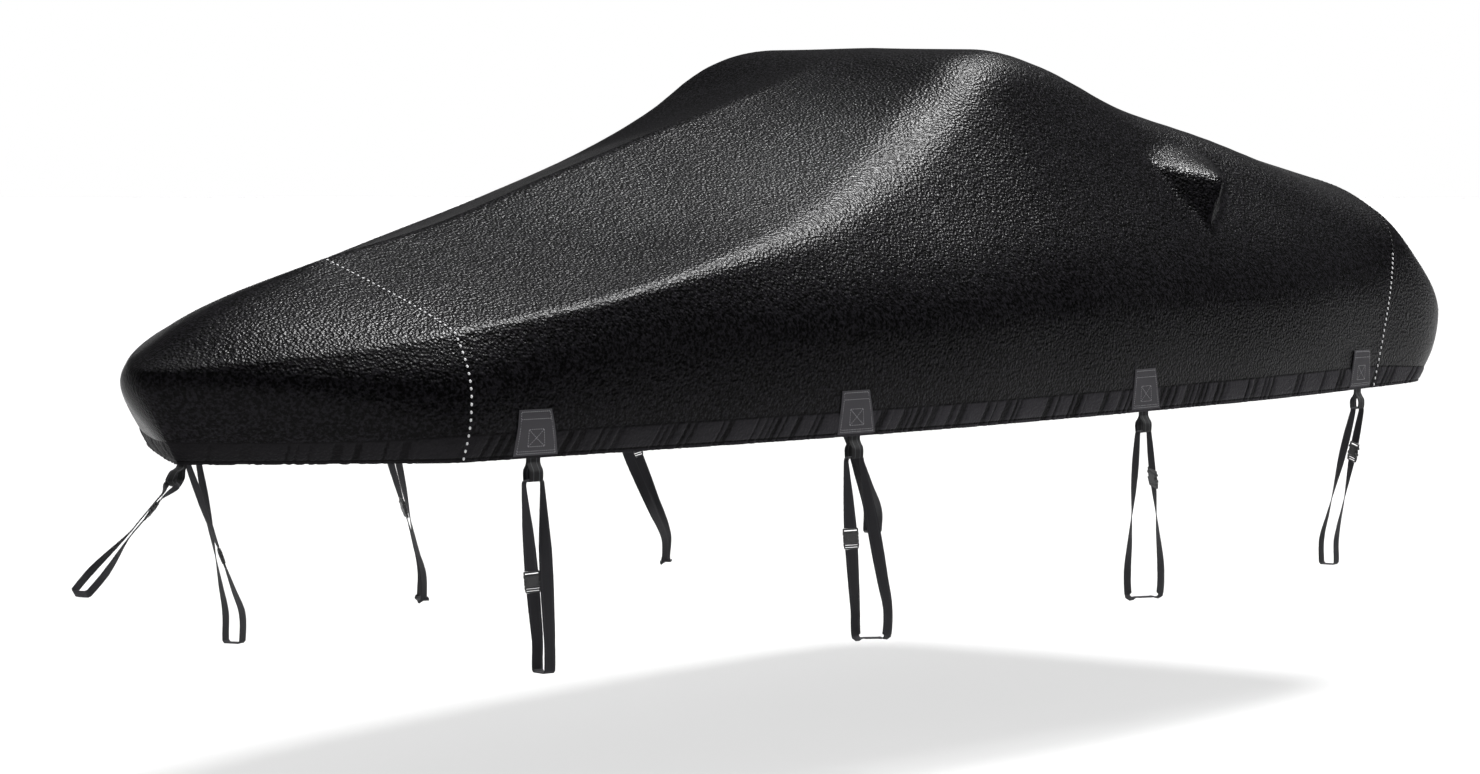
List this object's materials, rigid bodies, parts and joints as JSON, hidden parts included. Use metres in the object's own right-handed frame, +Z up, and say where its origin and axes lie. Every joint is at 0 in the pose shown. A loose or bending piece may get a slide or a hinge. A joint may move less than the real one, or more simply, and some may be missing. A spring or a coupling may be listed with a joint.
{
  "type": "boat cover",
  "caption": "Fitted cloth cover for an open motorboat on its trailer, with a shirred elastic hem, sewn tabs, webbing loops and buckled tie-down straps.",
  "frame": {"origin": "the underside of the cloth on the centre plane at the windshield's top, where the boat holds the cover up", "axes": "+X from the bow to the stern, +Y to starboard and +Z up"},
  "size_m": [5.5748, 2.0786, 1.6603],
  "materials": {
    "coated_cloth": "black coated polyester with a fine pebbled grain and a low sheen",
    "tab_cloth": "dark grey matt cloth with stitched edges",
    "loop_webbing": "black woven webbing",
    "strap_webbing": "dark grey woven webbing",
    "buckle_plastic": "black moulded plastic"
  },
  "bodies": {
    "root": {"bow_panel": "coated_cloth", "main_panel": "coated_cloth", "stern_panel": "coated_cloth", "tab_port_1": "tab_cloth", "tab_port_2": "tab_cloth", "tab_port_3": "tab_cloth", "tab_port_4": "tab_cloth", "tab_starboard_1": "tab_cloth", "tab_starboard_2": "tab_cloth", "tab_starboard_3": "tab_cloth", "tab_starboard_4": "tab_cloth", "stem_loop": "loop_webbing", "loop_port_1": "loop_webbing", "loop_port_2": "loop_webbing", "loop_port_3": "loop_webbing", "loop_port_4": "loop_webbing", "loop_starboard_1": "loop_webbing", "loop_starboard_2": "loop_webbing", "loop_starboard_3": "loop_webbing", "loop_starboard_4": "loop_webbing", "bow_strap": "strap_webbing", "strap_port_1": "strap_webbing", "strap_port_2": "strap_webbing", "strap_port_3": "strap_webbing", "strap_port_4": "strap_webbing", "strap_starboard_1": "strap_webbing", "strap_starboard_2": "strap_webbing", "strap_starboard_3": "strap_webbing", "strap_starboard_4": "strap_webbing", "bow_strap_buckle_socket": "buckle_plastic", "bow_strap_buckle_latch": "buckle_plastic", "strap_port_1_buckle_socket": "buckle_plastic", "strap_port_1_buckle_latch": "buckle_plastic", "strap_port_2_buckle_socket": "buckle_plastic", "strap_port_2_buckle_latch": "buckle_plastic", "strap_port_3_buckle_socket": "buckle_plastic", "strap_port_3_buckle_latch": "buckle_plastic", "strap_port_4_buckle_socket": "buckle_plastic", "strap_port_4_buckle_latch": "buckle_plastic", "strap_starboard_1_buckle_socket": "buckle_plastic", "strap_starboard_1_buckle_latch": "buckle_plastic", "strap_starboard_2_buckle_socket": "buckle_plastic", "strap_starboard_2_buckle_latch": "buckle_plastic", "strap_starboard_3_buckle_socket": "buckle_plastic", "strap_starboard_3_buckle_latch": "buckle_plastic", "strap_starboard_4_buckle_socket": "buckle_plastic", "strap_starboard_4_buckle_latch": "buckle_plastic"}
  },
  "joints": []
}
